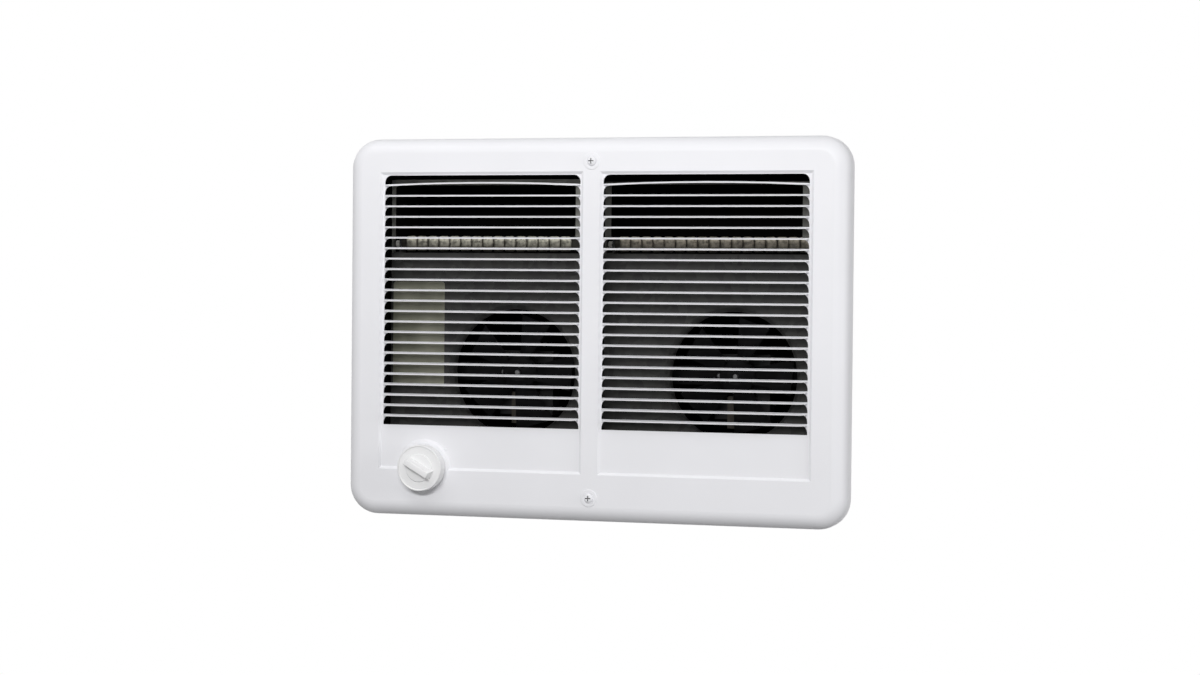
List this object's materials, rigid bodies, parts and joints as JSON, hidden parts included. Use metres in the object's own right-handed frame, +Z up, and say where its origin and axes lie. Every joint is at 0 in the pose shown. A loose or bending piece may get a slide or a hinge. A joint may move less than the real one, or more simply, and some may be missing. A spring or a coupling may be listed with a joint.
{
  "type": "electric wall heater",
  "caption": "Recessed electric wall heater with a white louvred steel cover, twin fan decks, ribbed heating elements and a thermostat knob in its lower left corner.",
  "frame": {"origin": "centre of the cover on the wall's surface, in the plane of the cover's rear rim", "axes": "+Z up, -Y out of the wall towards the room, +X to the viewer's right"},
  "size_m": [0.4884, 0.1569, 0.361],
  "materials": {
    "white_enamel": "satin",
    "galvanised_steel": "matte",
    "element_steel": "satin",
    "zinc_steel": "satin",
    "bright_steel": "polished",
    "lamination_steel": "matte",
    "coil_tape": "matte",
    "dark_fan": "satin",
    "black_phenolic": "matte",
    "white_ceramic": "matte",
    "green_screw": "satin",
    "white_plastic": "satin"
  },
  "bodies": {
    "housing": {"front_cover": "white_enamel", "can_back": "galvanised_steel", "can_left": "galvanised_steel", "can_right": "galvanised_steel", "can_top": "galvanised_steel", "can_floor": "galvanised_steel", "cover_screws": "zinc_steel", "cover_clips": "zinc_steel", "ground_screw": "green_screw", "deck_screws": "zinc_steel", "thermostat_body": "black_phenolic", "thermostat_screws": "zinc_steel", "fan_deck_left": "galvanised_steel", "element_left": "element_steel", "element_brackets_left": "galvanised_steel", "element_terminals_left": "white_ceramic", "limit_switch_left": "black_phenolic", "motor_strap_left": "galvanised_steel", "motor_stator_left": "lamination_steel", "motor_coil_left": "coil_tape", "front_bearing_left": "galvanised_steel", "rear_bearing_left": "galvanised_steel", "motor_screws_left": "zinc_steel", "fan_deck_right": "galvanised_steel", "element_right": "element_steel", "element_brackets_right": "galvanised_steel", "element_terminals_right": "white_ceramic", "limit_switch_right": "black_phenolic", "motor_strap_right": "galvanised_steel", "motor_stator_right": "lamination_steel", "motor_coil_right": "coil_tape", "front_bearing_right": "galvanised_steel", "rear_bearing_right": "galvanised_steel", "motor_screws_right": "zinc_steel"},
    "control_knob": {"knob": "white_plastic", "thermostat_shaft": "bright_steel"},
    "left_fan_set": {"fan_left": "dark_fan", "motor_shaft_left": "bright_steel", "motor_rotor_left": "lamination_steel"},
    "right_fan_set": {"fan_right": "dark_fan", "motor_shaft_right": "bright_steel", "motor_rotor_right": "lamination_steel"}
  },
  "joints": [
    {"name": "knob_turn", "type": "hinge", "parent": "housing", "child": "control_knob", "pos_m": [-0.165, -0.03, -0.1336], "axis": [0, 1, 0], "range_deg": [-120, 150]},
    {"name": "left_fan_spin", "type": "hinge", "parent": "housing", "child": "left_fan_set", "pos_m": [-0.08925, 0.05, -0.043], "axis": [0, 1, 0], "continuous": true},
    {"name": "right_fan_spin", "type": "hinge", "parent": "housing", "child": "right_fan_set", "pos_m": [0.12725, 0.05, -0.043], "axis": [0, 1, 0], "continuous": true}
  ]
}
